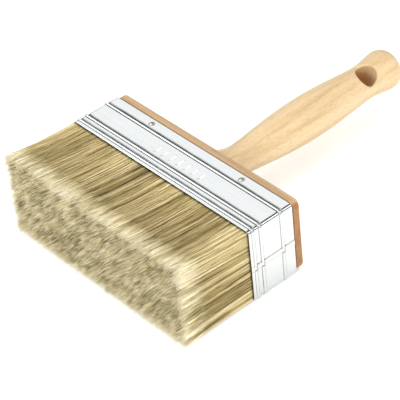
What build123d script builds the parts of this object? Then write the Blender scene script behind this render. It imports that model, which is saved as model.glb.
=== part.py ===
from build123d import *
import os

# A flat block brush, lying on its broad side. Millimetres, +Z up.
# X runs along the broad head, Y from the bristle tips (-Y) to the butt of the handle (+Y).
# The pieces are drawn with y = 0 at the ferrule's mouth and z = 0 at its plain underside,
# and moved at export so that the origin is the middle of the underside of the whole brush.

# head
head_width = 153.5        # outside of the ferrule's plain wall, for a nominal 150
head_thickness = 50.0     # outside of the ferrule's plain wall, for a nominal 50
fit_gap = 0.05            # a glued or pressed fit, each side

# ferrule: one band of tinplate
sheet = 0.35
ferrule_length = 33.1
ferrule_corner = 2.0      # outside radius at the four corners
hem_depth = 1.9           # the mouth edge, folded back on itself once
bead_half_width = 1.1
bead_height = 0.9
bead_places = (3.1, 8.6, 24.4)   # from the mouth
seam_width = 3.6          # the lap where the two ends of the band meet
seam_below_middle = 2.4   # the seam's middle, below the middle of the narrow end
pad_count = 7             # plain raised pads in place of a size mark
pad_pitch = 6.4
pad_size = (3.0, 7.4)     # across, along
pad_height = 0.35
pad_place = 16.6          # from the mouth, midway between the second and third beads

# wooden block that closes the ferrule
band_length = 6.1         # the part left bare behind the ferrule
band_corner = 4.5
band_ease = 1.5           # rounded back edge
tongue_length = 13.0      # the part inside the ferrule

# bristle setting
resin_length = 9.0
spacer_thickness = 5.0
spacer_end_gap = 4.0      # between a spacer's end and the ferrule's wall
spacer_inset = 1.0        # spacer stops this far inside the mouth

# bristles
free_length = 53.5        # mouth to tips
tip_rise = 5.2            # how far the upper face has spread at the tips
tip_drop = 0.7            # how far the lower face has spread at the tips
closing_length = 30.0     # the cleft that a spacer leaves has closed this far out
row_gap = 0.3             # between rows, and between bristles and what holds them
row_names = ("lower", "middle", "upper")

# handle, turned round, from the block's back face
handle_length = 153.4
base_radius = 15.0
neck_place, neck_radius = 22.3, 9.95
belly_place, belly_radius = 78.8, 13.85
waist_place, waist_radius = 126.8, 11.2
knob_place, knob_radius = 143.8, 13.15
# how far the outline runs level on each side of a place: towards the block, towards the butt
neck_level = (6.5, 10.0)
belly_level = (28.0, 20.0)
waist_level = (12.0, 5.0)
knob_level = (5.0, 4.6)
base_flare = (7.8, 1.0)   # the start of the flare: how far along, and how far in
butt_fullness = 9.2       # radius up to which the butt's end stays nearly flat
tenon_radius = 9.0
tenon_length = 10.0
tenon_end_gap = 0.5       # glue space at the bottom of the socket
hole_radius = 6.9
hole_place = 125.1        # from the block's back face
hole_turn = 30.0          # degrees from upright, about the handle's own axis
hole_round = 1.1          # rounded rim

# fasteners
screw_radius = 2.0
screw_head_radius = 4.0
screw_head_depth = 2.4
screw_length = 40.0
screw_slot = (1.0, 1.0)   # width, depth
screw_point = (3.0, 1.6)   # blunted tip: how far back, how far in
nail_radius = 0.7
nail_length = 12.0
nail_head_radius = 1.5
nail_head_height = 0.5
nail_half_pitch = 39.3
nail_place = 29.5         # from the mouth

# places that follow
half_width = head_width / 2
middle = head_thickness / 2
block_back = ferrule_length + band_length
tongue_front = ferrule_length - tongue_length
resin_front = tongue_front - resin_length
butt = block_back + handle_length
inner_half_width = half_width - sheet
inner_bottom = sheet
inner_top = head_thickness - sheet
overall_length = free_length + butt
to_frame = Pos(0, overall_length / 2 - butt, bead_height)


def section(width, low, high, corner, place):
    """A rounded rectangle across the brush, facing +Y, at one distance from the mouth."""
    plane = Plane(origin=(0, place, (low + high) / 2), x_dir=(1, 0, 0), z_dir=(0, 1, 0))
    return plane * RectangleRounded(width, high - low, corner)


def rod(start, end, radius, x=0.0, z=middle):
    """A cylinder along Y between two distances from the mouth."""
    plane = Plane(origin=(x, start, z), x_dir=(1, 0, 0), z_dir=(0, 1, 0))
    return extrude(plane * Circle(radius), end - start)


def block_between(x_range, y_range, z_range):
    """A plain box from its three ranges."""
    size = [high - low for low, high in (x_range, y_range, z_range)]
    centre = [(low + high) / 2 for low, high in (x_range, y_range, z_range)]
    return Pos(*centre) * Box(*size)


# ---- ferrule ----

def wall_outline(offset):
    """The wall's face on one side, from the hem to the back edge, as (offset, place) edges."""
    edges = []
    place = hem_depth if offset == 0 else sheet
    half = bead_half_width + offset
    for bead in bead_places:
        edges.append(Line((offset, place), (offset, bead - half)))
        crest = (offset + bead_height, bead)
        edges.append(ThreePointArc((offset, bead - half), crest, (offset, bead + half)))
        place = bead + half
    edges.append(Line((offset, place), (offset, ferrule_length)))
    return edges


def wall_face():
    """The cut through the sheet at the middle of the +X end: hem, plain wall and beads."""
    outside = wall_outline(0.0)
    inside = wall_outline(-sheet)
    hem = [
        Line((0, hem_depth), (sheet, hem_depth)),
        Line((sheet, hem_depth), (sheet, sheet)),
        ThreePointArc((sheet, sheet), (0, 0), (-sheet, sheet)),
    ]
    back = [Line((0, ferrule_length), (-sheet, ferrule_length))]
    outline = make_face(outside + inside + hem + back)
    return Pos(half_width, 0, middle) * outline


def ferrule_path():
    """The plain wall's outside, as a closed line across the brush."""
    return section(head_width, 0, head_thickness, ferrule_corner, 0).wire()


def size_pads():
    """A row of plain raised pads on the upper panel."""
    across, along = pad_size
    start = -(pad_count - 1) / 2 * pad_pitch
    pads = [
        Pos(start + i * pad_pitch, pad_place, head_thickness) * SlotOverall(along, across, rotation=90)
        for i in range(pad_count)
    ]
    return [extrude(pad, pad_height) for pad in pads]


def nail_spots():
    """Where each nail enters: x, the wall's outside z, and which way its head faces."""
    spots = []
    for z, up in ((head_thickness, 1), (0.0, -1)):
        spots += [(x, z, up) for x in (-nail_half_pitch, nail_half_pitch)]
    return spots


def nail_shank(x, z, up, radius):
    """The round shank of one nail, from the wall's outside inwards."""
    return Pos(x, nail_place, z - up * nail_length / 2) * Cylinder(radius, nail_length)


def make_ferrule():
    band = sweep(wall_face(), path=ferrule_path())
    seam_z = middle - seam_below_middle
    seam_range = (seam_z - seam_width / 2, seam_z + seam_width / 2)
    outside = (half_width + sheet, half_width + 2 * bead_height)
    band -= block_between(outside, (-1, ferrule_length + 1), seam_range)
    lap = block_between((inner_half_width, half_width + sheet), (sheet, ferrule_length), seam_range)
    band += lap
    for pad in size_pads():
        band += pad
    for x, z, up in nail_spots():
        band -= nail_shank(x, z, up, nail_radius)
    return band


# ---- wooden block ----

def screw_solid():
    """The countersunk wood screw, its head flush with the block's inner face."""
    head_end = tongue_front + screw_head_depth
    shank = rod(tongue_front, tongue_front + screw_length, screw_radius)
    tip = (shank.faces() | Axis.Y)[-1].edges()
    shank = chamfer(tip, *screw_point)
    plane = Plane(origin=(0, tongue_front, middle), x_dir=(1, 0, 0), z_dir=(0, 1, 0))
    head = loft([plane * Circle(screw_head_radius), plane.offset(screw_head_depth) * Circle(screw_radius)])
    return shank + head


def make_screw():
    slot_width, slot_depth = screw_slot
    reach = screw_head_radius + 1
    slot = block_between(
        (-reach, reach),
        (tongue_front - 1, tongue_front + slot_depth),
        (middle - slot_width / 2, middle + slot_width / 2),
    )
    return screw_solid() - slot


def make_block():
    band = extrude(section(head_width, 0, head_thickness, band_corner, ferrule_length), band_length)
    back_face = (band.faces() | Axis.Y)[-1]
    band = fillet(back_face.edges(), band_ease)
    tongue_width = 2 * (inner_half_width - fit_gap)
    tongue_corner = ferrule_corner - sheet
    tongue_section = section(
        tongue_width, inner_bottom + fit_gap, inner_top - fit_gap, tongue_corner, tongue_front
    )
    block = band + extrude(tongue_section, tongue_length)
    block -= rod(block_back - tenon_length - tenon_end_gap, block_back + 1, tenon_radius + fit_gap)
    block -= screw_solid()
    for x, z, up in nail_spots():
        block -= nail_shank(x, z, up, nail_radius)
    return block


def make_nails():
    nails = []
    ball = (nail_head_radius**2 + nail_head_height**2) / (2 * nail_head_height)
    for x, z, up in nail_spots():
        cap = Pos(x, nail_place, z + up * (nail_head_height - ball)) * Sphere(ball)
        above = (z, z + up * 2 * nail_head_height)
        reach = 2 * nail_head_radius
        cap &= block_between(
            (x - reach, x + reach), (nail_place - reach, nail_place + reach), (min(above), max(above))
        )
        nails.append(cap + nail_shank(x, z, up, nail_radius))
    return nails


# ---- bristle setting ----

def make_resin():
    bed = section(
        2 * (inner_half_width - fit_gap),
        inner_bottom + fit_gap,
        inner_top - fit_gap,
        ferrule_corner - sheet,
        resin_front,
    )
    return extrude(bed, resin_length)


def row_height():
    """Height of one row of bristles at the mouth."""
    return (inner_top - inner_bottom - (len(row_names) - 1) * spacer_thickness) / len(row_names)


def row_bottom(index):
    """The lower side of a row at the mouth, counting rows from the lowest."""
    return inner_bottom + index * (row_height() + spacer_thickness)


def make_spacer(index):
    """The strip above row number index."""
    low = row_bottom(index) + row_height()
    reach = inner_half_width - spacer_end_gap
    return block_between((-reach, reach), (spacer_inset, resin_front), (low, low + spacer_thickness))


# ---- bristles ----

def spread(place):
    """Share of the full spread at one distance out from the mouth."""
    return (max(place, 0) / free_length) ** 2


def boundary(index, place):
    """The plane under row index, or over the last one, at one distance out from the mouth."""
    low = inner_bottom - spread(place) * tip_drop
    high = inner_top + spread(place) * tip_rise
    if index == 0:
        share_up = 0
    elif index == len(row_names):
        share_up = 1
    else:
        share_up = (row_bottom(index) - spacer_thickness / 2 - inner_bottom) / (inner_top - inner_bottom)
    return low + share_up * (high - low)


def along_row(outline, half):
    """A solid from its outline of (y, z) points, across the brush by half each way."""
    plane = Plane(origin=(0, 0, 0), x_dir=(0, 1, 0), z_dir=(1, 0, 0))
    return extrude(plane * make_face(Polyline(*outline, close=True)), half, both=True)


def cleft(index):
    """The space round one spacer, under row index, closing to nothing between the bristles."""
    half = spacer_thickness / 2 + row_gap
    root = boundary(index, 0)
    outline = [
        (resin_front + 1, root - half),
        (0, root - half),
        (-closing_length, boundary(index, closing_length)),
        (0, root + half),
        (resin_front + 1, root + half),
    ]
    return along_row(outline, inner_half_width - spacer_end_gap + row_gap)


def make_row(index):
    """One row of bristles as a plain closed solid, from the resin to the tips."""
    places = (-resin_front, 0, free_length / 2, free_length)
    low_side = [(-place, boundary(index, place) + row_gap / 2) for place in places]
    high_side = [(-place, boundary(index + 1, place) - row_gap / 2) for place in places]
    half = inner_half_width - row_gap
    row_solid = along_row(low_side + high_side[::-1], half)

    def is_outer_corner(edge):
        spot = edge.center()
        gaps = [abs(spot.Z - boundary(face, -spot.Y)) for face in (0, len(row_names))]
        return abs(spot.X) > half - fit_gap and min(gaps) < 4 * row_gap

    corners = row_solid.edges().filter_by(is_outer_corner)
    if corners:
        row_solid = fillet(corners, ferrule_corner - sheet)
    for inner in range(1, len(row_names)):
        row_solid -= cleft(inner)
    return row_solid


# ---- handle ----

def handle_outline():
    """Half of the turned outline, as (distance from the block's back face, radius) edges."""
    base, neck = (0, base_radius), (neck_place, neck_radius)
    belly, waist = (belly_place, belly_radius), (waist_place, waist_radius)
    knob, end = (knob_place, knob_radius), (handle_length, 0)

    def level(station, step):
        return (station[0] + step, station[1])

    flare_along, flare_in = base_flare
    flare = (flare_along, base_radius - flare_in)
    return [
        Bezier(base, flare, level(neck, -neck_level[0]), neck),
        Bezier(neck, level(neck, neck_level[1]), level(belly, -belly_level[0]), belly),
        Bezier(belly, level(belly, belly_level[1]), level(waist, -waist_level[0]), waist),
        Bezier(waist, level(waist, waist_level[1]), level(knob, -knob_level[0]), knob),
        Bezier(knob, level(knob, knob_level[1]), (handle_length, butt_fullness), end),
        Polyline(end, (-tenon_length, 0), (-tenon_length, tenon_radius), (0, tenon_radius), base),
    ]


def hanging_hole():
    """The drill's path, square to the handle's axis and turned about it."""
    centre = Pos(0, block_back + hole_place, middle)
    return centre * Rot(0, hole_turn, 0) * Cylinder(hole_radius, 4 * belly_radius)


def make_handle():
    plane = Plane(origin=(0, block_back, middle), x_dir=(0, 1, 0), z_dir=(-1, 0, 0))
    profile = plane * make_face(handle_outline())
    axis = Axis((0, block_back, middle), (0, 1, 0))
    turned = revolve(profile, axis)
    drilled = turned - hanging_hole()
    rims = drilled.edges().filter_by(is_hole_rim)
    return fillet(rims, hole_round) - screw_solid()


def is_hole_rim(edge):
    """True for the edges that the drill leaves on the handle's surface."""
    drill_way = Vector(0, 0, 1).rotate(Axis.Y, hole_turn)
    centre = Vector(0, block_back + hole_place, middle)
    for share in (0.0, 0.3, 0.6):
        arm = edge.position_at(share) - centre
        from_axis = (arm - drill_way * arm.dot(drill_way)).length
        if abs(from_axis - hole_radius) > 0.01:
            return False
    return edge.geom_type != GeomType.LINE


pieces = {
    "handle": make_handle(),
    "head_block": make_block(),
    "handle_screw": make_screw(),
    "ferrule": make_ferrule(),
    "ferrule_nails": make_nails(),
    "resin_setting": make_resin(),
    "spacer_strip_lower": make_spacer(0),
    "spacer_strip_upper": make_spacer(1),
}
for row, name in enumerate(row_names):
    pieces[f"bristle_row_{name}"] = make_row(row)

os.makedirs("parts", exist_ok=True)
for name, piece in pieces.items():
    solids = piece if isinstance(piece, list) else [piece]
    placed = [to_frame * solid for solid in solids]
    export_step(placed[0] if len(placed) == 1 else Compound(children=placed), f"parts/{name}.step")
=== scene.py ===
import math

import bmesh
import bpy
import numpy as np
from mathutils import Matrix, Vector


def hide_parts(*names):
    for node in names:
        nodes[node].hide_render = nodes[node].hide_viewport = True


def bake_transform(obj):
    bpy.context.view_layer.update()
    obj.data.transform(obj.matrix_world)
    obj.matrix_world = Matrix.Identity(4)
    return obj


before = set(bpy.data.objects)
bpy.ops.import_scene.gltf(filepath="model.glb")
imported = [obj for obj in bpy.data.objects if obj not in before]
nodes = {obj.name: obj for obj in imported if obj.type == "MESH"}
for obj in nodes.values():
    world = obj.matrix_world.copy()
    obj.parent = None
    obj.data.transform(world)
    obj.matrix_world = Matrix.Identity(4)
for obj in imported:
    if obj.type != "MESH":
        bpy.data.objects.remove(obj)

scene = bpy.context.scene
mm = 0.001
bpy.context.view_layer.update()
noiseSpan = (0.3, 0.7)    # nearly all of a noise's values lie between these


# small helpers

def linearFromHex(text):
    values = [int(text[i:i + 2], 16) / 255 for i in (1, 3, 5)]
    return tuple(v / 12.92 if v <= 0.04045 else ((v + 0.055) / 1.055) ** 2.4 for v in values) + (1.0,)


def newMaterial(name):
    material = bpy.data.materials.new(name)
    material.use_nodes = True
    return material, material.node_tree, material.node_tree.nodes["Principled BSDF"]


def addNode(tree, kind, settings=None, inputs=None):
    node = tree.nodes.new(kind)
    for key, value in (settings or {}).items():
        setattr(node, key, value)
    for key, value in (inputs or {}).items():
        if isinstance(value, bpy.types.NodeSocket):
            tree.links.new(value, node.inputs[key])
        else:
            node.inputs[key].default_value = value
    return node


def setRamp(node, stops):
    ramp = node.color_ramp
    while len(ramp.elements) < len(stops):
        ramp.elements.new(0.5)
    for element, (place, colour) in zip(ramp.elements, stops):
        element.position = place
        element.color = linearFromHex(colour)


def addObject(name, mesh, material):
    piece = bpy.data.objects.new(name, mesh)
    scene.collection.objects.link(piece)
    piece.data.materials.clear()
    piece.data.materials.append(material)
    return piece


def dress(material, *names):
    for name in names:
        mesh = nodes[name].data
        mesh.materials.clear()
        mesh.materials.append(material)


def smoothStep(low, high, value):
    t = np.clip((value - low) / (high - low), 0, 1)
    return t * t * (3 - 2 * t)


# camera

cameraSet = {
    "azimuth": 52.36,      # degrees round from looking along +Y
    "elevation": 38.99,
    "roll": -6.48,
    "distance": 1.180,
    "aim": (0.0043, -0.0443, 0.0192),
    "lens": 180.6,
    "sensor": 36.0,
    "clipEnd": 20,
}


def makeCamera(s):
    azimuth, elevation, roll = (math.radians(s[key]) for key in ("azimuth", "elevation", "roll"))
    back = Vector((
        math.sin(azimuth) * math.cos(elevation),
        -math.cos(azimuth) * math.cos(elevation),
        math.sin(elevation),
    ))
    turn = Matrix.Rotation(roll, 4, "Z").to_quaternion()
    camera = bpy.data.objects.new("camera", bpy.data.cameras.new("camera"))
    camera.data.lens = s["lens"]
    camera.data.sensor_width = s["sensor"]
    camera.data.clip_end = s["clipEnd"]
    camera.rotation_mode = "QUATERNION"
    camera.location = Vector(s["aim"]) + back * s["distance"]
    camera.rotation_quaternion = (-back).to_track_quat("-Z", "Y") @ turn
    scene.collection.objects.link(camera)
    scene.camera = camera


# studio: a white table under soft boxes, in a bright room

studioSet = {
    "tableSize": 6.0,
    "tableColour": "#f2f2f0",
    "tableGlow": 0.07,              # the table is lit a little from beneath
    "tableRoughness": 0.9,
    "tableShine": 0.2,
    "sky": 1.22,                    # the room as it lights the brush
    "mirrored": 1.30,               # the room as polished metal sees it, high up
    "horizon": 0.42,                # and low down
    "horizonRise": (0.05, 0.62),    # sines of the angles where it starts and stops getting brighter
    "flags": [
        # black cards that draw dark lines along the metal's edges: direction, outer and inner cosine
        ((-0.05, 0.47, 0.88), 0.895, 0.955),
        ((-0.62, 0.78, 0.05), 0.85, 0.93),
        ((-0.62, -0.78, 0.05), 0.85, 0.93),
        ((0.86, 0.47, 0.12), 0.86, 0.94),
    ],
    "flagShade": 0.03,
    "boxes": [
        # name, direction it stands in, distance, width, height, power, whether metal mirrors it
        ("keyBox", (-0.15, -0.12, 0.98), 1.35, 0.9, 0.6, 4.0, False),
        ("sideBox", (0.88, -0.32, 0.36), 1.3, 0.7, 0.5, 8.3, False),
        ("frontBox", (0.10, -0.85, 0.50), 1.3, 0.35, 0.35, 2.6, False),
        ("beadBox", (-0.62, -0.33, 0.71), 1.2, 0.30, 0.30, 0.9, True),
        ("cornerBox", (0.66, 0.45, 0.60), 1.2, 0.30, 0.30, 0.6, True),
    ],
}


def makeTable(s):
    bm = bmesh.new()
    bmesh.ops.create_grid(bm, x_segments=1, y_segments=1, size=s["tableSize"] / 2)
    mesh = bpy.data.meshes.new("table")
    bm.to_mesh(mesh)
    bm.free()
    # matt white paper
    material, tree, shader = newMaterial("paper_backdrop")
    shader.inputs["Base Color"].default_value = linearFromHex(s["tableColour"])
    shader.inputs["Roughness"].default_value = s["tableRoughness"]
    shader.inputs["Specular IOR Level"].default_value = s["tableShine"]
    shader.inputs["Emission Color"].default_value = (1.0, 1.0, 1.0, 1.0)
    shader.inputs["Emission Strength"].default_value = s["tableGlow"]
    addObject("table", mesh, material)


def makeRoom(s):
    world = bpy.data.worlds.new("softRoom")
    scene.world = world
    world.use_nodes = True
    tree = world.node_tree
    # the brush is lit by an even sky; only polished metal sees the horizon and the flags
    way = addNode(tree, "ShaderNodeTexCoord").outputs["Generated"]
    parts = addNode(tree, "ShaderNodeSeparateXYZ", inputs={0: way})
    rise = addNode(tree, "ShaderNodeMapRange", {"interpolation_type": "SMOOTHSTEP"}, {
        "Value": parts.outputs["Z"], "From Min": s["horizonRise"][0], "From Max": s["horizonRise"][1],
        "To Min": s["horizon"], "To Max": s["mirrored"],
    })
    seen = rise.outputs["Result"]
    for middle, outer, inner in s["flags"]:
        off = addNode(tree, "ShaderNodeVectorMath", {"operation": "DOT_PRODUCT"}, {
            0: way, 1: Vector(middle).normalized(),
        })
        shade = addNode(tree, "ShaderNodeMapRange", {"interpolation_type": "SMOOTHSTEP"}, {
            "Value": off.outputs["Value"], "From Min": outer, "From Max": inner,
            "To Min": 1.0, "To Max": s["flagShade"],
        })
        seen = addNode(tree, "ShaderNodeMath", {"operation": "MULTIPLY"}, {
            0: seen, 1: shade.outputs["Result"],
        }).outputs[0]
    ray = addNode(tree, "ShaderNodeLightPath")
    strength = addNode(tree, "ShaderNodeMix", {"data_type": "FLOAT"}, {
        "Factor": ray.outputs["Is Glossy Ray"], 2: s["sky"], 3: seen,
    })
    background = tree.nodes["Background"]
    tree.links.new(strength.outputs[0], background.inputs["Strength"])
    background.inputs["Color"].default_value = (1.0, 1.0, 1.0, 1.0)


def makeBoxes(s):
    for name, stand, distance, width, height, power, mirrored in s["boxes"]:
        light = bpy.data.lights.new(name, "AREA")
        light.shape = "RECTANGLE"
        light.size, light.size_y = width, height
        light.energy = power
        lamp = bpy.data.objects.new(name, light)
        lamp.location = Vector(stand).normalized() * distance
        lamp.visible_glossy = mirrored
        lamp.rotation_euler = (-lamp.location).to_track_quat("-Z", "Y").to_euler()
        scene.collection.objects.link(lamp)


makeCamera(cameraSet)
makeTable(studioSet)
makeRoom(studioSet)
makeBoxes(studioSet)
scene.view_settings.view_transform = "Standard"
print("camera and studio ready")


# wood

beechSet = {
    "grains": {
        # width and length in mm, noise detail and distortion, and where the pattern starts
        "rings": (5.0, 110.0, 3.0, 0.6, 3.1),    # growth rings, as wide as they show on the turned face
        "fibres": (0.3, 9.0, 2.0, 0.0, 7.7),
        "flecks": (0.45, 3.2, 1.0, 0.0, 1.9),    # ray flecks are near 0.2 mm wide, drawn wider so they show
    },
    "ringStops": (0.32, 0.5, 0.68),    # the rings' noise where the wood is pale, middling and deep
    "fibreShare": 0.22,
    "fleckCut": (0.60, 0.70),          # the flecks' noise where they start, and where they are full
    "fleckShare": 0.45,
    "grainBump": (0.12, 0.1),          # strength, and depth in mm
    "coatRoughness": 0.3,
    "acrossCut": (0.5, 0.95),          # how squarely a face has to be cut across the grain to darken
    # the colour of the painted shade along the ferrule's cut edge
    "edgeShade": "#9a8468",
    "edgeMm": (0.3, 1.3),              # how far from the sheet's edge the painted shade is full, and gone
    # the colour of the painted shade deep in the bore
    "boreShade": "#cb9448",
    "boreRimMm": 0.7,
    "boreDeepMm": (10.5, -6.0),        # how far up the bore's axis the painted shade starts, and is full
    "boreRoughness": 0.95,
}

handleSet = {
    "name": "beech_turned_waxed",
    "along": "Y",
    "colours": ("#cdb68f", "#c6ad85", "#b99e75", "#9c7650"),    # pale, middling and deep wood, and flecks
    "roughness": 0.42,
    "coat": 0.12,
    "bore": ((0, 0.09475, 0.0259), (0.5, 0, 0.8660254), 6.9),   # middle, axis, and radius in mm
}

blockSet = {
    "name": "beech_steamed_planed",
    "along": "X",
    "colours": ("#b99e79", "#af916d", "#9c7e58", "#7d5e3f"),
    "roughness": 0.5,
    "coat": 0.05,
    "endGrain": "#d6b284",
    "sheetEdge": -0.03645,             # the ferrule's cut edge, along Y
}

spacerSet = {
    "name": "beech_sawn",
    "along": "X",
    "colours": ("#caa271", "#b78c5c", "#9a7046", "#7c5433"),
    "roughness": 0.75,
    "coat": 0.0,
}


def beechMaterial(piece, s):
    # close straight grain with short dark ray flecks, sanded and waxed: a soft sheen, no pores to see
    material, tree, shader = newMaterial(piece["name"])
    pale, middling, deep, fleck = piece["colours"]
    place = addNode(tree, "ShaderNodeTexCoord").outputs["Object"]
    grains = {}
    for key, (width, length, detail, distortion, start) in s["grains"].items():
        # the patterns start apart, so that none lines up with another
        sizes = [length if axis == piece["along"] else width for axis in "XYZ"]
        stretched = addNode(tree, "ShaderNodeMapping", inputs={
            "Vector": place, "Location": (start, start * 0.7, start * 1.3),
            "Scale": [1 / (size * mm) for size in sizes],
        })
        grains[key] = addNode(tree, "ShaderNodeTexNoise", inputs={
            "Vector": stretched.outputs["Vector"], "Scale": 1.0, "Detail": detail, "Distortion": distortion,
        }).outputs["Fac"]
    base = addNode(tree, "ShaderNodeValToRGB", inputs={"Fac": grains["rings"]})
    setRamp(base, list(zip(s["ringStops"], (pale, middling, deep))))
    fibreShare = addNode(tree, "ShaderNodeMapRange", inputs={
        "Value": grains["fibres"], "From Min": noiseSpan[0], "From Max": noiseSpan[1],
        "To Min": 0.0, "To Max": s["fibreShare"],
    })
    fibred = addNode(tree, "ShaderNodeMix", {"data_type": "RGBA", "blend_type": "MULTIPLY"}, {
        "Factor": fibreShare.outputs["Result"], 6: base.outputs["Color"], 7: linearFromHex(deep),
    })
    fleckShare = addNode(tree, "ShaderNodeMapRange", inputs={
        "Value": grains["flecks"], "From Min": s["fleckCut"][0], "From Max": s["fleckCut"][1],
        "To Min": 0.0, "To Max": s["fleckShare"],
    })
    flecked = addNode(tree, "ShaderNodeMix", {"data_type": "RGBA"}, {
        "Factor": fleckShare.outputs["Result"], 6: fibred.outputs[2], 7: linearFromHex(fleck),
    })
    colour = flecked.outputs[2]
    if "endGrain" in piece:
        # cut across the grain the wood drinks more wax and looks darker
        facing = addNode(tree, "ShaderNodeSeparateXYZ", inputs={
            0: addNode(tree, "ShaderNodeNewGeometry").outputs["Normal"],
        }).outputs[piece["along"]]
        across = addNode(tree, "ShaderNodeMath", {"operation": "ABSOLUTE"}, {0: facing})
        cut = addNode(tree, "ShaderNodeMapRange", {"interpolation_type": "SMOOTHSTEP"}, {
            "Value": across.outputs[0], "From Min": s["acrossCut"][0], "From Max": s["acrossCut"][1],
        })
        colour = addNode(tree, "ShaderNodeMix", {"data_type": "RGBA", "blend_type": "MULTIPLY"}, {
            "Factor": cut.outputs["Result"], 6: colour, 7: linearFromHex(piece["endGrain"]),
        }).outputs[2]
    if "sheetEdge" in piece:
        # painted shade along the sheet's cut edge, where the ferrule meets the block
        parts = addNode(tree, "ShaderNodeSeparateXYZ", inputs={0: place})
        gap = addNode(tree, "ShaderNodeMath", {"operation": "SUBTRACT"}, {
            0: parts.outputs["Y"], 1: piece["sheetEdge"],
        })
        line = addNode(tree, "ShaderNodeMapRange", {"interpolation_type": "SMOOTHSTEP"}, {
            "Value": gap.outputs[0], "From Min": s["edgeMm"][0] * mm, "From Max": s["edgeMm"][1] * mm,
            "To Min": 1.0, "To Max": 0.0,
        })
        colour = addNode(tree, "ShaderNodeMix", {"data_type": "RGBA", "blend_type": "MULTIPLY"}, {
            "Factor": line.outputs["Result"], 6: colour, 7: linearFromHex(s["edgeShade"]),
        }).outputs[2]
    if "bore" in piece:
        # the drilled bore, found by distance from its axis: torn fibres, rougher, and painted shade that
        # darkens the wall the deeper it goes
        middle, axis, boreMm = piece["bore"]
        off = addNode(tree, "ShaderNodeVectorMath", {"operation": "SUBTRACT"}, {0: place, 1: middle})
        away = addNode(tree, "ShaderNodeVectorMath", {"operation": "CROSS_PRODUCT"}, {
            0: off.outputs[0], 1: axis,
        })
        radius = addNode(tree, "ShaderNodeVectorMath", {"operation": "LENGTH"}, {0: away.outputs[0]})
        inside = addNode(tree, "ShaderNodeMapRange", {"interpolation_type": "SMOOTHSTEP"}, {
            "Value": radius.outputs["Value"],
            "From Min": boreMm * mm, "From Max": (boreMm + s["boreRimMm"]) * mm,
            "To Min": 1.0, "To Max": 0.0,
        })
        height = addNode(tree, "ShaderNodeVectorMath", {"operation": "DOT_PRODUCT"}, {
            0: off.outputs[0], 1: axis,
        })
        down = addNode(tree, "ShaderNodeMapRange", inputs={
            "Value": height.outputs["Value"],
            "From Min": s["boreDeepMm"][0] * mm, "From Max": s["boreDeepMm"][1] * mm,
            "To Min": 0.0, "To Max": 1.0,
        })
        share = addNode(tree, "ShaderNodeMath", {"operation": "MULTIPLY"}, {
            0: inside.outputs["Result"], 1: down.outputs["Result"],
        })
        # painted shade, full deep in the bore and gone near its upper rim
        colour = addNode(tree, "ShaderNodeMix", {"data_type": "RGBA", "blend_type": "MULTIPLY"}, {
            "Factor": share.outputs[0], 6: colour, 7: linearFromHex(s["boreShade"]),
        }).outputs[2]
        rough = addNode(tree, "ShaderNodeMapRange", inputs={
            "Value": inside.outputs["Result"], "To Min": piece["roughness"], "To Max": s["boreRoughness"],
        })
        tree.links.new(rough.outputs["Result"], shader.inputs["Roughness"])
    bump = addNode(tree, "ShaderNodeBump", inputs={
        "Strength": s["grainBump"][0], "Distance": s["grainBump"][1] * mm, "Height": grains["fibres"],
    })
    tree.links.new(colour, shader.inputs["Base Color"])
    tree.links.new(bump.outputs["Normal"], shader.inputs["Normal"])
    shader.inputs["Roughness"].default_value = piece["roughness"]
    shader.inputs["Coat Weight"].default_value = piece["coat"]
    shader.inputs["Coat Roughness"].default_value = s["coatRoughness"]
    return material


dress(beechMaterial(handleSet, beechSet), "handle")
dress(beechMaterial(blockSet, beechSet), "head_block")
dress(beechMaterial(spacerSet, beechSet), "spacer_strip_lower", "spacer_strip_upper")
print("wood ready")


# metal

tinSet = {
    "tint": "#dadddd",
    "roughness": 0.16,
    "roughSpread": (-0.05, 0.08),
    "rollingMm": 0.25,                # fine rolling lines round the band
    "rollingAlong": 12,               # how many times in a metre they change along their length
    "rollingBump": (0.1, 0.02),       # strength, and depth in mm
    "waveMm": 14.0,                   # the thin sheet isn't quite flat
    "waveBump": (0.5, 0.5),
    "mouthMm": -69.55,                # the ferrule's mouth, along Y
    "beadBacks": (4.2, 9.7, 25.5),    # where each bead meets the sheet behind it, from the mouth
    "beadWidthMm": 2.2,
    "dishMm": 2.4,                    # the sheet is drawn down this far behind a bead
    "dishDeepMm": 0.26,
    "dishSlackMm": 0.02,              # so that a dish reaches the bead's foot
    "creaseShade": "#55554c",               # painted shade in the creases
    "beadFoot": (0.7, 0.45),          # how wide the painted shade lies in mm, and the tin's share in the middle of it
    "beadFront": (0.35, 0.7),
    "seamLine": (0.45, 0.5),
    "nailLine": (0.55, 0.25),
    "seamZ": (21.7, 25.3),            # the lap's two edges, on the +X end
    "seamX": 76.2,
    "seamTint": "#dadbd7",
    "nail": (39.3, -40.05, 1.75),     # the nails' places, either side, and their heads' radius
}


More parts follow.
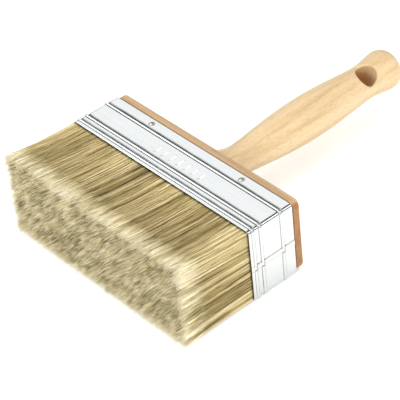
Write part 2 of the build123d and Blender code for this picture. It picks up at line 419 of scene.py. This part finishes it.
def tinplateMaterial(s):
    # cold rolled steel sheet with a bright tin coat: near mirror, softened by rolling lines and waves
    material, tree, shader = newMaterial("tinplate_bright_rolled")
    place = addNode(tree, "ShaderNodeTexCoord").outputs["Object"]
    parts = addNode(tree, "ShaderNodeSeparateXYZ", inputs={0: place})
    rolling = addNode(tree, "ShaderNodeTexNoise", inputs={
        "Vector": addNode(tree, "ShaderNodeMapping", inputs={
            "Vector": place, "Scale": (s["rollingAlong"], 1 / (s["rollingMm"] * mm), s["rollingAlong"]),
        }).outputs["Vector"],
        "Scale": 1.0, "Detail": 2.0,
    })
    waves = addNode(tree, "ShaderNodeTexNoise", inputs={
        "Vector": place, "Scale": 1 / (s["waveMm"] * mm), "Detail": 1.0,
    })
    rough = addNode(tree, "ShaderNodeMapRange", inputs={
        "Value": rolling.outputs["Fac"], "From Min": noiseSpan[0], "From Max": noiseSpan[1],
        "To Min": s["roughness"] + s["roughSpread"][0], "To Max": s["roughness"] + s["roughSpread"][1],
    })
    wavy = addNode(tree, "ShaderNodeBump", inputs={
        "Strength": s["waveBump"][0], "Distance": s["waveBump"][1] * mm, "Height": waves.outputs["Fac"],
    })
    rolled = addNode(tree, "ShaderNodeBump", inputs={
        "Strength": s["rollingBump"][0], "Distance": s["rollingBump"][1] * mm,
        "Height": rolling.outputs["Fac"], "Normal": wavy.outputs["Normal"],
    })

    # the roller draws the sheet into a shallow dish behind each bead, steepest at the bead's foot
    height = None
    for back in s["beadBacks"]:
        start = (s["mouthMm"] + back) * mm
        fall = addNode(tree, "ShaderNodeMapRange", inputs={
            "Value": parts.outputs["Y"], "From Min": start, "From Max": start + s["dishMm"] * mm,
            "To Min": 1.0, "To Max": 0.0,
        })
        curve = addNode(tree, "ShaderNodeMath", {"operation": "POWER"}, {0: fall.outputs["Result"], 1: 2.0})
        behind = addNode(tree, "ShaderNodeMath", {"operation": "GREATER_THAN"}, {
            0: parts.outputs["Y"], 1: start - s["dishSlackMm"] * mm,
        })
        dish = addNode(tree, "ShaderNodeMath", {"operation": "MULTIPLY"}, {
            0: curve.outputs[0], 1: behind.outputs[0],
        })
        if height:
            dish = addNode(tree, "ShaderNodeMath", {"operation": "ADD"}, {0: dish.outputs[0], 1: height})
        height = dish.outputs[0]
    dished = addNode(tree, "ShaderNodeBump", inputs={
        "Strength": 1.0, "Distance": s["dishDeepMm"] * mm,
        "Height": height, "Normal": rolled.outputs["Normal"],
    })

    # the creases where shade is painted: what is measured, where in mm, how it lies, and where it counts
    onEnd = addNode(tree, "ShaderNodeMath", {"operation": "GREATER_THAN"}, {
        0: parts.outputs["X"], 1: s["seamX"] * mm,
    }).outputs[0]
    side = addNode(tree, "ShaderNodeMath", {"operation": "ABSOLUTE"}, {0: parts.outputs["X"]})
    flat = addNode(tree, "ShaderNodeCombineXYZ", inputs={"X": side.outputs[0], "Y": parts.outputs["Y"]})
    radius = addNode(tree, "ShaderNodeVectorMath", {"operation": "DISTANCE"}, {
        0: flat.outputs[0], 1: (s["nail"][0] * mm, s["nail"][1] * mm, 0),
    })
    creases = []
    for back in s["beadBacks"]:
        foot = s["mouthMm"] + back
        creases.append((parts.outputs["Y"], foot, s["beadFoot"], None))
        creases.append((parts.outputs["Y"], foot - s["beadWidthMm"], s["beadFront"], None))
    for edge in s["seamZ"]:
        creases.append((parts.outputs["Z"], edge, s["seamLine"], onEnd))
    creases.append((radius.outputs["Value"], s["nail"][2], s["nailLine"], None))
    unshaded = None
    for value, middle, (width, least), where in creases:
        gap = addNode(tree, "ShaderNodeMath", {"operation": "SUBTRACT"}, {0: value, 1: middle * mm})
        gap = addNode(tree, "ShaderNodeMath", {"operation": "ABSOLUTE"}, {0: gap.outputs[0]})
        share = addNode(tree, "ShaderNodeMapRange", {"interpolation_type": "SMOOTHSTEP"}, {
            "Value": gap.outputs[0], "From Max": width * mm, "To Min": least, "To Max": 1.0,
        }).outputs["Result"]
        if where:
            share = addNode(tree, "ShaderNodeMix", {"data_type": "FLOAT"}, {
                "Factor": where, 2: 1.0, 3: share,
            }).outputs[0]
        if unshaded:
            share = addNode(tree, "ShaderNodeMath", {"operation": "MULTIPLY"}, {
                0: share, 1: unshaded,
            }).outputs[0]
        unshaded = share

    inLap = addNode(tree, "ShaderNodeMath", {"operation": "COMPARE"}, {
        0: parts.outputs["Z"], 1: sum(s["seamZ"]) / 2 * mm, 2: (s["seamZ"][1] - s["seamZ"][0]) / 2 * mm,
    })
    inLap = addNode(tree, "ShaderNodeMath", {"operation": "MULTIPLY"}, {0: inLap.outputs[0], 1: onEnd})
    tint = addNode(tree, "ShaderNodeMix", {"data_type": "RGBA"}, {
        "Factor": inLap.outputs[0], 6: linearFromHex(s["tint"]), 7: linearFromHex(s["seamTint"]),
    })
    # painted shade: the tint darkens to the crease colour along the beads' feet and fronts, the lap's edges
    # and round the nails
    colour = addNode(tree, "ShaderNodeMix", {"data_type": "RGBA"}, {
        "Factor": unshaded, 6: linearFromHex(s["creaseShade"]), 7: tint.outputs[2],
    })
    tree.links.new(colour.outputs[2], shader.inputs["Base Color"])
    tree.links.new(rough.outputs["Result"], shader.inputs["Roughness"])
    tree.links.new(dished.outputs["Normal"], shader.inputs["Normal"])
    shader.inputs["Metallic"].default_value = 1.0
    return material


steelSet = {
    "blotchMm": 0.8,
    "roughSpread": (-0.08, 0.1),
    "nails": ("steel_wire_nail", "#d2d2cc", 0.24),      # name, tint and roughness
    "screw": ("steel_zinc_plated", "#c3c4be", 0.35),
}


def steelMaterial(name, tint, roughness, s):
    # drawn or plated wire: duller than the sheet, with faint blotches from handling
    material, tree, shader = newMaterial(name)
    place = addNode(tree, "ShaderNodeTexCoord").outputs["Object"]
    blotches = addNode(tree, "ShaderNodeTexNoise", inputs={
        "Vector": place, "Scale": 1 / (s["blotchMm"] * mm), "Detail": 3.0,
    })
    rough = addNode(tree, "ShaderNodeMapRange", inputs={
        "Value": blotches.outputs["Fac"], "From Min": noiseSpan[0], "From Max": noiseSpan[1],
        "To Min": roughness + s["roughSpread"][0], "To Max": roughness + s["roughSpread"][1],
    })
    tree.links.new(rough.outputs["Result"], shader.inputs["Roughness"])
    shader.inputs["Base Color"].default_value = linearFromHex(tint)
    shader.inputs["Metallic"].default_value = 1.0
    return material


dress(tinplateMaterial(tinSet), "ferrule")
dress(steelMaterial(*steelSet["nails"], steelSet), "ferrule_nails")
dress(steelMaterial(*steelSet["screw"], steelSet), "handle_screw")
print("metal ready")


# resin

resinSet = {
    "cloudMm": 6.0,
    "colours": [(0.3, "#5a4020"), (0.7, "#7a5a30")],
    "roughness": 0.25,
}


def resinMaterial(s):
    # cast epoxy, dark amber and glossy, slightly cloudy
    material, tree, shader = newMaterial("epoxy_cast_amber")
    place = addNode(tree, "ShaderNodeTexCoord").outputs["Object"]
    clouds = addNode(tree, "ShaderNodeTexNoise", inputs={
        "Vector": place, "Scale": 1 / (s["cloudMm"] * mm), "Detail": 3.0,
    })
    colour = addNode(tree, "ShaderNodeValToRGB", inputs={"Fac": clouds.outputs["Fac"]})
    setRamp(colour, s["colours"])
    tree.links.new(colour.outputs["Color"], shader.inputs["Base Color"])
    shader.inputs["Roughness"].default_value = s["roughness"]
    return material


dress(resinMaterial(resinSet), "resin_setting")
print("resin ready")


# bristles: every strand is a tapered hair, rooted in the mouth and drawn towards the tip of its clump

bristleSet = {
    "seed": 7,
    "mouthY": -0.06955,
    "middleZ": 0.0259,
    "freeLength": 53.5 * mm,
    "bendShare": 0.95,            # how much of that length a bend of the bundle is spread over
    "halfWidth": 77.2 * mm,       # outermost strands at the tips, each side of the middle
    "squeeze": 0.95 * mm,         # how much narrower the bundle is at the mouth
    "mouthZ": (1.35 * mm, 50.45 * mm),
    "tipZ": (0.45 * mm, 56.4 * mm),
    "flare": 1.2,                 # above 1 the bundle spreads late
    "tuck": 2.0 * mm,             # strands start this far inside the mouth
    "bunches": [
        # size, lean to its middle half way out and at the tip, spread of tone, spread of length
        (4.4 * mm, 0.28, 0.22, 0.07, 0.5 * mm),       # clumps
        (2.2 * mm, 0.32, 0.38, 0.14, 1.0 * mm),       # locks
        (1.0 * mm, 0.40, 0.42, 0.15, 0.5 * mm),       # a few strands that stick together
    ],
    "bunchJitter": 0.42,          # how unevenly the bunches stand, in bunch sizes
    "bunchTone": (0.8, 0.6),      # how far a bunch's tone is its own, and how far its length's, as painted shade on short bunches
    "blur": 0.14,                 # how far strands stray into the next bunch, in bunch sizes
    "leanLimit": 0.7,             # how far they lean at most, in bunch sizes
    "ownLength": 0.8,             # mm that a strand's length differs from its bunch's
    "ownShare": 0.6,              # the least of that where the trim is even
    "strayShare": 0.10,           # one hair in ten is a stray, longer, looser and thinner
    "strayLoose": 2.6,
    "strayThin": 0.6,
    "strayLong": 1.6 * mm,
    "strayLimit": 2.6 * mm,       # how far a hair's tip strays sideways at most
    "strayBend": 2.2,             # above 1 a hair strays mostly near its tip
    "longLimit": 4.5 * mm,
    "bow": 0.22 * mm,
    "topSoft": 0.9 * mm,          # the top is trimmed close: hairs stand this much above it at most
    "tableGap": 0.25 * mm,
    "taper": 0.5,                 # how much thinner a hair is at its tip
    "weld": 1e-7,                 # metres, to close each tube's ends
    "mapColumns": 32,             # strands side by side in the map
    "mapAlong": (0.08, 0.84),     # where a strand starts in its cell of the map, and its span
    "mapRound": (0.2, 0.3),       # the same round it, and the step from side to side
}

outerSet = {
    "stops": (0, 0.015, 0.27, 0.54, 0.8, 1),    # where a strand's points lie along it
    "radius": 0.13 * mm,          # real ones are half as thick
    "count": 4600,                # on the top, and below
    "endCount": 760,              # on the narrow ends, for each row
    "depth": 0.05,                # how deep they are rooted, of the bundle's height
    "endDepth": 0.036,            # of half its width
    "depthPower": 1.5,            # above 1 most of them lie near the surface
    "reach": (1.008, 0.02),       # share of the free length they reach, and its spread
    "loose": 0.6,                 # mm that a tip strays sideways
    "uneven": 0.3,                # how much of its bunch's odd length a strand has
    "tone": (0.52, 0.8, 0.25),    # middle, share of the bunch's tone, a strand's own spread
    "sideLight": (0.9, 0.97),          # painted light: the narrow ends are paler, and pale further back, from here to here
    "sideLightTone": 0.1,
    "sideLightFade": 0.11,
}

tipSet = {
    "stops": (0, 0.1, 0.65, 1),
    "radius": 0.22 * mm,          # drawn coarser, so that single tips show over the end
    "count": 6500,                # for each half of a row
    "start": (0.68, 0.76),        # share of the free length where they start, out of sight
    "reach": (1.008, 0.03),
    "loose": 0.9,
    "uneven": (0.3, 0.7),         # at the sides, and how much more over the end
    "tone": (0.26, 1.25, 0.2),
    "skin": 3.4 * mm,             # tips this near the bundle's sides get painted light, as pale as its outer strands
    "skinLight": 0.5,
    "innerShade": 1.6,             # how much sooner a tip is painted dark with shade inside than in the skin
}


def surfacePoint(u, v, share, s):
    # u runs -1 to 1 across the brush, v 0 to 1 up it, share 0 to 1 from the mouth to the tips
    spread = np.maximum(share, 0) ** s["flare"]
    low = s["mouthZ"][0] + spread * (s["tipZ"][0] - s["mouthZ"][0])
    high = s["mouthZ"][1] + spread * (s["tipZ"][1] - s["mouthZ"][1])
    x = u * (s["halfWidth"] - (1 - spread) * s["squeeze"])
    return np.stack([x, s["mouthY"] - share * s["freeLength"], low + v * (high - low)], -1)


def bunchGrid(size, s, random):
    # a jittered grid of middles over the end of the brush, in metres across and up
    span = np.array((2 * s["halfWidth"], s["tipZ"][1] - s["tipZ"][0]))
    count = (span / size).astype(int)
    cells = np.stack(np.meshgrid(np.arange(count[0]), np.arange(count[1]), indexing="ij"), -1) + 0.5
    cells += random.uniform(-s["bunchJitter"], s["bunchJitter"], cells.shape)
    return cells * span / count - (s["halfWidth"], 0), span / count


def nearestBunch(places, middles, cell, s):
    count = np.array(middles.shape[:2])
    home = np.floor((places + (s["halfWidth"], 0)) / cell).astype(int)
    best, found = np.full(len(places), np.inf), np.zeros((len(places), 2), int)
    for across in (-1, 0, 1):
        for up in (-1, 0, 1):
            near = np.clip(home + (across, up), 0, count - 1)
            gap = ((places - middles[near[:, 0], near[:, 1]]) ** 2).sum(1)
            closer = gap < best
            best[closer], found[closer] = gap[closer], near[closer]
    return found[:, 0], found[:, 1]


def makeBunches(s, random):
    bunches = []
    own, shadeFromLength = s["bunchTone"]
    for size, pull, tipPull, toneSpread, lengthSpread in s["bunches"]:
        middles, cell = bunchGrid(size, s, random)
        length = random.normal(0, 1, middles.shape[:2])
        # painted shade: a short bunch lies deeper, and its strands' tone is made darker
        tone = (own * random.normal(0, 1, length.shape) + shadeFromLength * length) * toneSpread
        bunches.append((size, pull, tipPull, middles, cell, tone, length * lengthSpread))
    return bunches


def strandPaths(u, v, begin, end, uneven, look, bunches, s, random):
    # points along each strand, from share begin to share end of the free length
    # uneven is how much of its bunch's odd length a strand has
    n = len(u)
    share = begin[:, None] + (end - begin)[:, None] * np.array(look["stops"])[None, :]
    points = surfacePoint(u[:, None], v[:, None], share, s)
    home = np.stack([u * s["halfWidth"], v * (s["tipZ"][1] - s["tipZ"][0])], 1)
    tone = np.zeros(n)
    extra = random.normal(0, s["ownLength"], n) * mm * np.maximum(uneven, s["ownShare"])
    for size, pull, tipPull, middles, cell, bunchTone, bunchLength in bunches:
        found = nearestBunch(home + random.normal(0, s["blur"] * size, (n, 2)), middles, cell, s)
        lean = np.clip(middles[found] - home, -s["leanLimit"] * size, s["leanLimit"] * size)
        amount = pull * smoothStep(0, 0.5, share) + (tipPull - pull) * smoothStep(0.5, 1, share)
        points[..., 0] += lean[:, None, 0] * amount
        points[..., 2] += lean[:, None, 1] * amount
        tone += bunchTone[found]
        extra += bunchLength[found] * uneven

    # each strand has its own slight bow, and a few are stray hairs
    strays = random.uniform(0, 1, n) < s["strayShare"]
    stray = random.normal(0, 1, (n, 2)) * look["loose"] * mm
    stray *= np.where(strays, s["strayLoose"], 1.0)[:, None]
    stray = np.clip(stray, -s["strayLimit"], s["strayLimit"])
    extra += np.where(strays, np.abs(random.normal(0, 1, n)) * s["strayLong"], 0)
    extra = np.minimum(extra, s["longLimit"])
    bow = random.normal(0, 1, (n, 2)) * s["bow"]
    rise = np.maximum(share, 0) ** s["strayBend"]
    wave = np.sin(np.clip(share, 0, 1) * math.pi)
    points[..., 0] += stray[:, None, 0] * rise + bow[:, None, 0] * wave
    points[..., 2] += stray[:, None, 1] * rise + bow[:, None, 1] * wave
    points[..., 1] -= extra[:, None] * rise

    # no hair goes under the table, and the top is trimmed close
    proud = np.maximum(points[..., 2] - s["tipZ"][1], 0)
    points[..., 2] += s["topSoft"] * np.tanh(proud / s["topSoft"]) - proud
    points[..., 2] = np.maximum(points[..., 2], s["tableGap"])
    return points, share, tone, np.where(strays, s["strayThin"], 1.0)[:, None]


def makeStrands(name, points, share, fade, tone, thin, look, s):
    # one curve with a spline a strand, turned to mesh, so that every strand is a closed four-sided tube
    n, count = share.shape
    curve = bpy.data.curves.new(name, "CURVE")
    curve.dimensions = "3D"
    curve.bevel_depth = 1.0
    curve.bevel_resolution = 0
    curve.resolution_u = 1
    curve.use_fill_caps = False
    radius = look["radius"] * thin * (1 - s["taper"] * np.clip(share, 0, 1) ** 2)
    radius[:, 0] = 0
    radius[:, -1] = 0
    flat = np.concatenate([points, np.ones((n, count, 1))], 2).astype(np.float32)
    for index in range(n):
        spline = curve.splines.new("POLY")
        spline.points.add(count - 1)
        spline.points.foreach_set("co", flat[index].ravel())
        spline.points.foreach_set("radius", radius[index].astype(np.float32))
    holder = bpy.data.objects.new(name, curve)
    scene.collection.objects.link(holder)
    graph = bpy.context.evaluated_depsgraph_get()
    mesh = bpy.data.meshes.new_from_object(holder.evaluated_get(graph), depsgraph=graph)
    bpy.data.objects.remove(holder)
    bpy.data.curves.remove(curve)
    mesh.name = name

    # share along the hair, tone and place in the map, vertex by vertex: four round each point
    hair = np.repeat(np.arange(n), count * 4)
    side = np.tile([0, 1, 2, 1], n * count)
    along = np.repeat(np.tile(np.array(look["stops"]), n), 4)
    columns = s["mapColumns"]
    rows = math.ceil(n / columns)
    values = {
        "fade": np.repeat(fade.ravel(), 4),
        "tone": tone[hair],
        "mapU": (hair % columns + s["mapAlong"][0] + s["mapAlong"][1] * along) / columns,
        "mapV": (hair // columns + s["mapRound"][0] + s["mapRound"][1] * side) / rows,
    }
    for key, numbers in values.items():
        mesh.attributes.new(key, "FLOAT", "POINT").data.foreach_set("value", numbers.astype(np.float32))
    bm = bmesh.new()
    bm.from_mesh(mesh)
    bmesh.ops.remove_doubles(bm, verts=bm.verts, dist=s["weld"])
    bm.to_mesh(mesh)
    bm.free()

    corner = np.empty(len(mesh.loops), np.int32)
    mesh.loops.foreach_get("vertex_index", corner)
    uv = np.empty((len(mesh.loops), 2), np.float32)
    for axis, key in enumerate(("mapU", "mapV")):
        numbers = np.empty(len(mesh.vertices), np.float32)
        mesh.attributes[key].data.foreach_get("value", numbers)
        uv[:, axis] = numbers[corner]
        mesh.attributes.remove(mesh.attributes[key])
    while mesh.uv_layers:
        mesh.uv_layers.remove(mesh.uv_layers[0])
    mesh.uv_layers.new(name="OFBake").data.foreach_set("uv", uv.ravel())
    mesh.polygons.foreach_set("use_smooth", np.ones(len(mesh.polygons), bool))
    return mesh


hairSet = {
    "roots": [(0.0, "#4a3c19"), (0.3, "#8d7b47"), (0.65, "#baa66f"), (1.0, "#e6d6aa")],    # by tone
    "tips": [(0.0, "#6f6238"), (0.12, "#b8ab7a"), (0.28, "#e1d29f"), (0.5, "#f8ebbf"), (1.0, "#fffbe6")],
    "paling": (0.68, 0.95),       # where along a hair it turns from root to tip colour
    # the colour and strength of the painted shade on the roots by the mouth
    "mouthShadeColour": "#4f4026",
    "mouthShadeEnd": 0.035,              # how far out of the mouth the roots are painted darker, as a share of the free length
    "mouthShadeShare": 0.85,
    "roughness": 0.42,
    "shine": 0.45,
    "sheen": 0.35,
    "sheenRoughness": 0.4,
    "sheenTint": "#fff1cc",
}


def hairMaterial(s):
    # washed hog bristle: waxy hair with a soft sheen, khaki at the root, cream where its tip is split
    material, tree, shader = newMaterial("hog_bristle_washed")
    fade = addNode(tree, "ShaderNodeAttribute", {"attribute_name": "fade"}).outputs["Fac"]
    tone = addNode(tree, "ShaderNodeAttribute", {"attribute_name": "tone"}).outputs["Fac"]
    root = addNode(tree, "ShaderNodeValToRGB", inputs={"Fac": tone})
    setRamp(root, s["roots"])
    tip = addNode(tree, "ShaderNodeValToRGB", inputs={"Fac": tone})
    setRamp(tip, s["tips"])
    paling = addNode(tree, "ShaderNodeMapRange", {"interpolation_type": "SMOOTHSTEP"}, {
        "Value": fade, "From Min": s["paling"][0], "From Max": s["paling"][1],
    })
    colour = addNode(tree, "ShaderNodeMix", {"data_type": "RGBA"}, {
        "Factor": paling.outputs["Result"], 6: root.outputs["Color"], 7: tip.outputs["Color"],
    })
    # painted shade: the roots are darkened a little way out of the mouth, where the ferrule's lip shades
    # them
    mouthShade = addNode(tree, "ShaderNodeMapRange", {"interpolation_type": "SMOOTHSTEP"}, {
        "Value": fade, "From Min": 0.0, "From Max": s["mouthShadeEnd"], "To Min": s["mouthShadeShare"], "To Max": 0.0,
    })
    rooted = addNode(tree, "ShaderNodeMix", {"data_type": "RGBA", "blend_type": "MULTIPLY"}, {
        "Factor": mouthShade.outputs["Result"], 6: colour.outputs[2], 7: linearFromHex(s["mouthShadeColour"]),
    })
    tree.links.new(rooted.outputs[2], shader.inputs["Base Color"])
    shader.inputs["Roughness"].default_value = s["roughness"]
    shader.inputs["Specular IOR Level"].default_value = s["shine"]
    shader.inputs["Sheen Weight"].default_value = s["sheen"]
    shader.inputs["Sheen Roughness"].default_value = s["sheenRoughness"]
    shader.inputs["Sheen Tint"].default_value = linearFromHex(s["sheenTint"])
    return material


coreSet = {
    "inset": 2.2 * mm,            # how far inside the strands it lies
    "start": -0.03,               # share of the free length where it starts, and how much it covers
    "reach": 0.80,
    "cuts": 9,
    "pinch": 0.9,                 # how far across the narrow ends start to draw in
    "outermost": 0.49,            # the cube's own faces lie beyond this
    "streakMm": (0.6, 25),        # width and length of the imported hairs' streaks
    "colours": [(0.35, "#4a3a1c"), (0.6, "#7d6838")],
    "roughness": 0.7,
}


def coreMaterial(s):
    # the inside of the bundle, seen only between strands: packed hair coloured dark brown as painted shade
    material, tree, shader = newMaterial("hog_bristle_packed_shade")
    place = addNode(tree, "ShaderNodeTexCoord").outputs["Object"]
    width, length = s["streakMm"]
    streaks = addNode(tree, "ShaderNodeTexNoise", inputs={
        "Vector": addNode(tree, "ShaderNodeMapping", inputs={
            "Vector": place, "Scale": (1 / (width * mm), 1 / (length * mm), 1 / (width * mm)),
        }).outputs["Vector"],
        "Scale": 1.0, "Detail": 2.0,
    })
    colour = addNode(tree, "ShaderNodeValToRGB", inputs={"Fac": streaks.outputs["Fac"]})
    setRamp(colour, s["colours"])
    tree.links.new(colour.outputs["Color"], shader.inputs["Base Color"])
    shader.inputs["Roughness"].default_value = s["roughness"]
    return material


def makeCore(name, low, high, core, s):
    # a dark inner block for one row, painted shade for the deep hair, a little inside the strands and short
    # of the tips
    bm = bmesh.new()
    bmesh.ops.create_cube(bm, size=1.0)
    bmesh.ops.subdivide_edges(bm, edges=bm.edges, cuts=core["cuts"], use_grid_fill=True)
    for vert in bm.verts:
        share = core["start"] + (0.5 - vert.co.y) * core["reach"]
        up = low + (vert.co.z + 0.5) * (high - low)
        spot = surfacePoint(np.array(vert.co.x * 2), np.array(up), np.array(share), s)
        edge = np.clip((abs(vert.co.x) * 2 - core["pinch"]) / (1 - core["pinch"]), 0, 1)
        spot[0] -= math.copysign(core["inset"] * edge, vert.co.x)
        if vert.co.z > core["outermost"] and high == 1:
            spot[2] -= core["inset"]
        if vert.co.z < -core["outermost"] and low == 0:
            spot[2] += core["inset"]
        vert.co = spot
    bmesh.ops.recalc_face_normals(bm, faces=bm.faces)
    mesh = bpy.data.meshes.new(name)
    bm.to_mesh(mesh)
    bm.free()
    return mesh


def makeBristles(s, outer, tips, look, core):
    random = np.random.default_rng(s["seed"])
    bunches = makeBunches(s, random)
    hair, packed = hairMaterial(look), coreMaterial(core)

    def fitPiece(name, mesh, material, row):
        piece = addObject(name, mesh, material)
        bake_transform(piece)
        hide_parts("bristle_row_" + row)

    rows = ("lower", "middle", "upper")
    for index, row in enumerate(rows):
        low, high = index / len(rows), (index + 1) / len(rows)
        # outer strands, root to tip, in the skin of the bundle
        u, v = [], []
        if row != "middle":
            n = outer["count"]
            depth = random.uniform(0, 1, n) ** outer["depthPower"] * outer["depth"]
            u.append(random.uniform(-1, 1, n))
            v.append(depth if row == "lower" else 1 - depth)
        n = outer["endCount"]
        depth = random.uniform(0, 1, n) ** outer["depthPower"] * outer["endDepth"]
        u.append(np.where(random.uniform(0, 1, n) < 0.5, -1 + depth, 1 - depth))
        v.append(random.uniform(low, high, n))
        u, v = np.concatenate(u), np.concatenate(v)
        begin = np.full(len(u), -s["tuck"] / s["freeLength"])
        end = outer["reach"][0] - np.abs(random.normal(0, outer["reach"][1], len(u)))
        points, share, tone, thin = strandPaths(
            u, v, begin, end, outer["uneven"], outer, bunches, s, random,
        )
        # painted light on the narrow ends: their strands are paler, and turn pale further back
        sideLight = smoothStep(*outer["sideLight"], np.abs(u))
        middle, fromBunch, spread = outer["tone"]
        tone = middle + outer["sideLightTone"] * sideLight + fromBunch * tone + random.normal(0, spread, len(u))
        fade = share + outer["sideLightFade"] * sideLight[:, None] * share
        name = "strands_outer_" + row
        mesh = makeStrands(name, points, share, fade, np.clip(tone, 0, 1), thin, outer, s)
        fitPiece(name, mesh, hair, row)

        # tips over the end of the brush
        for half in ("left", "right"):
            n = tips["count"]
            u = random.uniform(-1, 0, n) if half == "left" else random.uniform(0, 1, n)
            v = random.uniform(low, high, n)
            begin = random.uniform(*tips["start"], n)
            end = tips["reach"][0] - np.abs(random.normal(0, tips["reach"][1], n))
            # painted shade: over the end a strand goes dark sooner, a few mm down from its tip, but not
            # near the sides, where the tips get painted light
            edge = np.minimum(
                (1 - np.abs(u)) * s["halfWidth"], np.minimum(v, 1 - v) * (s["tipZ"][1] - s["tipZ"][0]),
            )
            inner = smoothStep(0, tips["skin"], edge)
            uneven = tips["uneven"][0] + tips["uneven"][1] * inner
            points, share, tone, thin = strandPaths(u, v, begin, end, uneven, tips, bunches, s, random)
            middle, fromBunch, spread = tips["tone"]
            # painted light on tips near the sides, painted shade on tips inside the end face
            tone = middle + fromBunch * tone + random.normal(0, spread, n) + tips["skinLight"] * (1 - inner)
            fade = 1 - (1 + tips["innerShade"] * inner[:, None]) * (1 - share)
            name = "strands_tip_" + row + "_" + half
            mesh = makeStrands(name, points, share, fade, np.clip(tone, 0, 1), thin, tips, s)
            fitPiece(name, mesh, hair, row)

        name = "strands_core_" + row
        fitPiece(name, makeCore(name, low, high, core, s), packed, row)
        print("bristles", row, "ready")


makeBristles(bristleSet, outerSet, tipSet, hairSet, coreSet)
